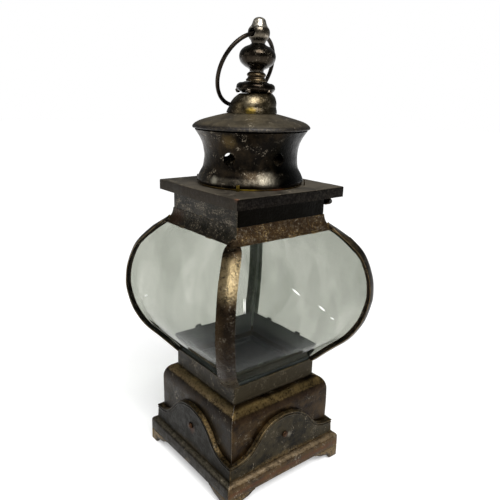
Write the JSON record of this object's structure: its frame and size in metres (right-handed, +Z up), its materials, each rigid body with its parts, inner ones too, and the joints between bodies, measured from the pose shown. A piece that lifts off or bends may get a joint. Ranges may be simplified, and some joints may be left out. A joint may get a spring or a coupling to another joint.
{
  "type": "moroccan metal lantern",
  "caption": "Square-footed candle lantern with a bulging glass globe between corner ribs, a hinged lid with a waisted vented chimney and turned finial, and a swinging hanging ring.",
  "frame": {"origin": "centre of the bounding box at the level the feet stand on", "axes": "+Z up along the lantern's axis; -Y is the front; the lid is hinged on the +Y side"},
  "size_m": [0.1756, 0.1756, 0.4211],
  "materials": {
    "dark_patina": "very dark brown bronze patina, semi-gloss, speckled and worn to brass at the edges",
    "dusty_bronze": "grey-brown dusty bronze, matte, with fine pale specks",
    "worn_brass": "antique brass showing through a dark patina",
    "grey_metal": "dull grey inner metal",
    "glass": "clear bent glass, slightly grey-green"
  },
  "bodies": {
    "lantern": {"corner_foot_front_right": "dusty_bronze", "corner_foot_back_right": "dusty_bronze", "corner_foot_back_left": "dusty_bronze", "corner_foot_front_left": "dusty_bronze", "plinth_rail_front": "dusty_bronze", "plinth_rail_right": "dusty_bronze", "plinth_rail_back": "dusty_bronze", "plinth_rail_left": "dusty_bronze", "base_panel_front": "dark_patina", "base_panel_right": "dark_patina", "base_panel_back": "dark_patina", "base_panel_left": "dark_patina", "apron_front": "dark_patina", "apron_right": "dark_patina", "apron_back": "dark_patina", "apron_left": "dark_patina", "apron_rivet_front": "worn_brass", "apron_rivet_right": "worn_brass", "apron_rivet_back": "worn_brass", "apron_rivet_left": "worn_brass", "lower_neck": "dark_patina", "candle_tray": "dark_patina", "lower_skirt_front": "grey_metal", "lower_skirt_right": "grey_metal", "lower_skirt_back": "grey_metal", "lower_skirt_left": "grey_metal", "glass_front": "glass", "glass_right": "glass", "glass_back": "glass", "glass_left": "glass", "rib_front_right": "worn_brass", "rib_back_right": "worn_brass", "rib_back_left": "worn_brass", "rib_front_left": "worn_brass", "upper_skirt_front": "dark_patina", "upper_skirt_right": "dark_patina", "upper_skirt_back": "dark_patina", "upper_skirt_left": "dark_patina", "upper_neck": "dark_patina", "hinge_leaf_neck": "dark_patina", "hinge_pin": "grey_metal"},
    "lid": {"hinge_leaf_lid": "dark_patina", "lid_plate": "dusty_bronze", "lid_sleeve": "dark_patina", "chimney_base_ring": "worn_brass", "chimney_tab_1": "worn_brass", "chimney_tab_2": "worn_brass", "chimney_tab_3": "worn_brass", "chimney_tab_4": "worn_brass", "chimney_body": "dark_patina", "chimney_cap": "dusty_bronze", "finial_bell": "worn_brass", "finial_disc": "dark_patina", "finial_spindle": "worn_brass", "finial_ball": "dark_patina", "finial_knob": "worn_brass", "finial_tie_rod": "grey_metal", "finial_nut": "grey_metal", "finial_washer": "grey_metal"},
    "ring": {"hanging_ring": "dark_patina"}
  },
  "joints": [
    {"name": "lid_hinge", "type": "hinge", "parent": "lantern", "child": "lid", "pos_m": [0, 0.056, 0.2658], "axis": [-1, 0, 0], "range_deg": [0, 105]},
    {"name": "ring_swing", "type": "hinge", "parent": "lid", "child": "ring", "pos_m": [0.00377, 0.00478, 0.40811], "axis": [-0.1739, 0.9845, -0.0232], "range_deg": [0, 316]}
  ]
}
